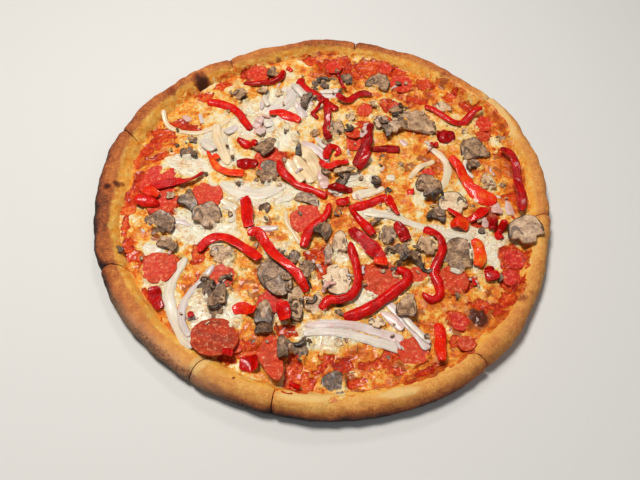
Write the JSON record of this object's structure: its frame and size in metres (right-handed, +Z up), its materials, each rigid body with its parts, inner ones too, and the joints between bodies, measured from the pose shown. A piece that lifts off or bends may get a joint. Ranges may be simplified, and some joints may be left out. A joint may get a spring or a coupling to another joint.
{
  "type": "pizza",
  "caption": "Whole baked pizza with a raised browned crust, cut into slices, topped with cheese, red pepper strips, mushroom slices, salami and onion.",
  "frame": {"origin": "centre of the flat underside", "axes": "+Z up through the toppings, +X to the right and +Y away from a viewer at the front of the picture"},
  "size_m": [0.414, 0.414, 0.0278],
  "materials": {
    "baked_dough": "matt baked crust, golden to brown",
    "melted_cheese": "melted cheese with a greasy sheen",
    "salami": "greasy, mottled orange red",
    "mushroom": "soft satin, grey brown",
    "onion": "moist, slightly see-through",
    "red_pepper": "glossy roasted skin"
  },
  "bodies": {
    "root": {"slice_1_dough": "baked_dough", "slice_1_cheese": "melted_cheese", "slice_2_dough": "baked_dough", "slice_2_cheese": "melted_cheese", "slice_3_dough": "baked_dough", "slice_3_cheese": "melted_cheese", "slice_4_dough": "baked_dough", "slice_4_cheese": "melted_cheese", "slice_5_dough": "baked_dough", "slice_5_cheese": "melted_cheese", "slice_6_dough": "baked_dough", "slice_6_cheese": "melted_cheese", "slice_7_dough": "baked_dough", "slice_7_cheese": "melted_cheese", "slice_8_dough": "baked_dough", "slice_8_cheese": "melted_cheese", "slice_9_dough": "baked_dough", "slice_9_cheese": "melted_cheese", "salami_1": "salami", "salami_2": "salami", "salami_3": "salami", "salami_4": "salami", "salami_5": "salami", "salami_6": "salami", "salami_half": "salami", "mushroom_1": "mushroom", "mushroom_2": "mushroom", "mushroom_3": "mushroom", "mushroom_4": "mushroom", "mushroom_5": "mushroom", "mushroom_6": "mushroom", "mushroom_7": "mushroom", "mushroom_8": "mushroom", "mushroom_9": "mushroom", "mushroom_10": "mushroom", "mushroom_11": "mushroom", "onion_1": "onion", "pepper_1": "red_pepper", "pepper_2": "red_pepper", "pepper_3": "red_pepper", "pepper_4": "red_pepper", "pepper_5": "red_pepper", "pepper_6": "red_pepper", "pepper_7": "red_pepper", "pepper_8": "red_pepper", "pepper_9": "red_pepper", "pepper_10": "red_pepper", "pepper_11": "red_pepper", "pepper_12": "red_pepper", "pepper_13": "red_pepper", "pepper_14": "red_pepper", "pepper_15": "red_pepper", "pepper_16": "red_pepper", "pepper_17": "red_pepper", "pepper_18": "red_pepper", "pepper_19": "red_pepper", "pepper_20": "red_pepper", "pepper_21": "red_pepper", "pepper_22": "red_pepper", "pepper_23": "red_pepper"}
  },
  "joints": []
}
